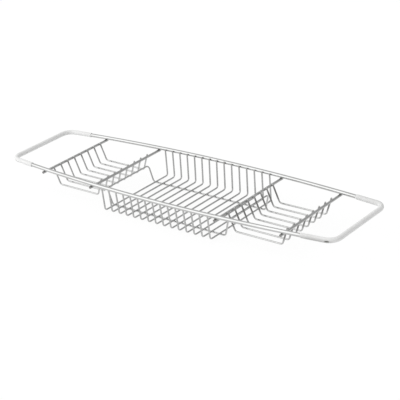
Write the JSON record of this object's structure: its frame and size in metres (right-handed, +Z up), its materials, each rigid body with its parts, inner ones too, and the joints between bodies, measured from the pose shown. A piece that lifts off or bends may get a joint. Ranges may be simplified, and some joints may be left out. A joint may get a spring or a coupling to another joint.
{
  "type": "bath caddy",
  "caption": "Chromed wire rack that lies across a bath: a deep wire basket between two shallow wire trays, on a bowed rod frame with soft sleeves at both ends.",
  "frame": {"origin": "on the plane that the basket's floor loop stands on, under the middle of the rack", "axes": "+X along the rack towards its right end, +Y towards the rear rail, +Z up"},
  "size_m": [0.6998, 0.1868, 0.0559],
  "materials": {
    "chromed_steel": "bright chrome plate",
    "vinyl_sleeve": "soft translucent white vinyl"
  },
  "bodies": {
    "root": {"frame_hoop": "chromed_steel", "basket_wire_01": "chromed_steel", "basket_wire_02": "chromed_steel", "basket_wire_03": "chromed_steel", "basket_wire_04": "chromed_steel", "basket_wire_05": "chromed_steel", "basket_wire_06": "chromed_steel", "basket_wire_07": "chromed_steel", "basket_wire_08": "chromed_steel", "basket_wire_09": "chromed_steel", "basket_wire_10": "chromed_steel", "basket_wire_11": "chromed_steel", "basket_wire_12": "chromed_steel", "basket_wire_13": "chromed_steel", "basket_wire_14": "chromed_steel", "basket_wire_15": "chromed_steel", "basket_loop": "chromed_steel", "left_inner_crossbar": "chromed_steel", "left_outer_crossbar": "chromed_steel", "right_inner_crossbar": "chromed_steel", "right_outer_crossbar": "chromed_steel", "left_tray_wire_1": "chromed_steel", "left_tray_wire_2": "chromed_steel", "left_tray_wire_3": "chromed_steel", "left_tray_wire_4": "chromed_steel", "left_tray_wire_5": "chromed_steel", "left_tray_wire_6": "chromed_steel", "left_tray_wire_7": "chromed_steel", "left_tray_wire_8": "chromed_steel", "right_tray_wire_1": "chromed_steel", "right_tray_wire_2": "chromed_steel", "right_tray_wire_3": "chromed_steel", "right_tray_wire_4": "chromed_steel", "right_tray_wire_5": "chromed_steel", "right_tray_wire_6": "chromed_steel", "right_tray_wire_7": "chromed_steel", "right_tray_wire_8": "chromed_steel", "left_sleeve": "vinyl_sleeve", "right_sleeve": "vinyl_sleeve"}
  },
  "joints": []
}
